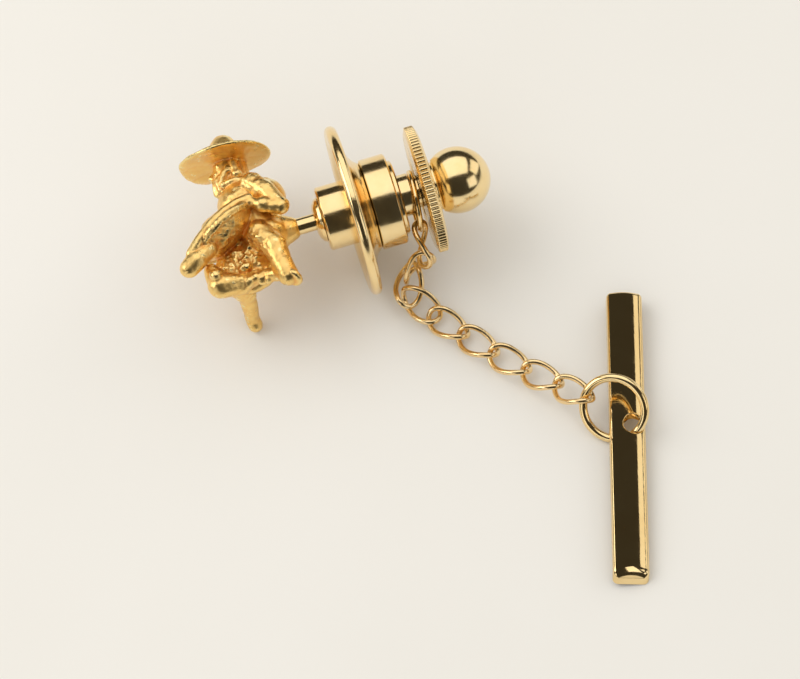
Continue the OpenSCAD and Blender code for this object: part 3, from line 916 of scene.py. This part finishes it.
def model_nuggets(clay):
    """Nuggets heaped in the lap, laid out in a spiral."""
    golden_angle = 2.399963
    for k in range(12):
        a, r = golden_angle * k, 0.4 * math.sqrt(k)
        size = 0.2 + 0.2 * ((k * 7) % 5) / 4
        clay.egg((7.35 + r * math.cos(a), -0.1 - 0.2 * r, -2.75 + 1.15 * r * math.sin(a)),
                 (size, size * 0.8, size * 1.5), (k, 0.5 * k, 0))


def figure():
    """The seated prospector, melted into one casting from separate forms and then given its relief."""
    clay = Clay()
    for model in (model_hat, model_head, model_beard, model_body, model_left_arm, model_right_arm, model_pan,
                  model_lap, model_legs, model_nuggets):
        model(clay)
    mesh = bpy.data.meshes.new("clay")
    mesh.from_pydata(clay.points, [], clay.faces)
    blank = bpy.data.objects.new("clay", mesh)
    bpy.context.scene.collection.objects.link(blank)
    melt = blank.modifiers.new("melt", "REMESH")
    melt.mode = "VOXEL"
    melt.voxel_size = CAST_VOXEL
    soften = blank.modifiers.new("soften", "SMOOTH")
    soften.factor, soften.iterations = 0.5, 4
    cast = bpy.data.meshes.new_from_object(blank.evaluated_get(bpy.context.evaluated_depsgraph_get()))
    bpy.data.objects.remove(blank)
    count = len(cast.vertices)
    co = np.empty(count * 3)
    normal = np.empty(count * 3)
    cast.vertices.foreach_get("co", co)
    cast.vertices.foreach_get("normal", normal)
    co, normal = co.reshape(-1, 3), normal.reshape(-1, 3)
    co = co + normal * relief(co)[:, None]
    faces = [tuple(p.vertices) for p in cast.polygons]
    world = co[:, :1] * FORWARD + co[:, 1:2] * LEFT + co[:, 2:3] * UP
    piece("prospector_cast", world, faces, CAST, "tack", ["prospector"], "cast_gold")


def relief(co):
    """How far each point stands out: creased cloth, a rough coat, a grainy lap and locks in the beard."""

    def grain(x, y, z):
        return noise.noise(Vector((x, y, z)))

    out = np.zeros(len(co))
    for i, (front, left, up) in enumerate(co):
        fold = grain(front * 0.8 + 0.7 * up, left, up * 0.8)
        out[i] = 0.07 * abs(fold) + 0.012 * grain(front * 3.1, left * 3.1, up * 3.1)
        coat = math.exp(-((front - 6.5) ** 2 / 3.5 + (up - 2.1) ** 2 / 1.2))
        cell = noise.voronoi(Vector((front * 2.1, left * 2.1, up * 2.1)))[0][0]
        out[i] += coat * 0.12 * (0.5 - cell)
        lap = math.exp(-((front - 7.4) ** 2 / 2.2 + (up + 2.7) ** 2 / 1.8))
        out[i] += lap * (0.30 * grain(front * 1.7, left * 1.7, up * 1.7 + 9)
                         + 0.12 * grain(front * 4.5, left * 4.5, up * 4.5))
        if 2.0 < up < 3.3 and front > 8.1:
            out[i] += 0.05 * math.sin(16 * left + 3 * grain(front * 2, left * 2, up * 1.5))
    return out


# ---------------------------------------------------------------- all together


def light_only(card, names):
    """Lets a card shine on the named pieces only."""
    lit = bpy.data.collections.new("lit_by_" + card.name)
    for name in names:
        lit.objects.link(bpy.data.objects[name])
    card.light_linking.receiver_collection = lit


def light_from_above():
    """A card over the clutch for all the pieces but the bar, and one behind the camera for the bar alone."""
    meshes = [o.name for o in bpy.context.scene.objects if o.type == "MESH"]
    rest = [name for name in meshes if name not in ("toggle", "surface")]
    above = softbox("above", (16, 25.6, 70.5), (16, 0, 0), (120, 105), 1.2, on_floor=False)
    light_only(above, rest)
    above_bar = softbox("above_bar", (53, -198, 286), (12, -28, -5), (170, 340), 1.3, on_floor=False)
    light_only(above_bar, ["toggle"])


clutch()
pull_end()
chain()
toggle_bar()
figure()
light_from_above()
for name in ("coil_spring", "ball_cage", "lock_ball_1", "lock_ball_2", "lock_ball_3"):
    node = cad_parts[name]
    node.data.materials.clear()
    node.data.materials.append(STEEL)
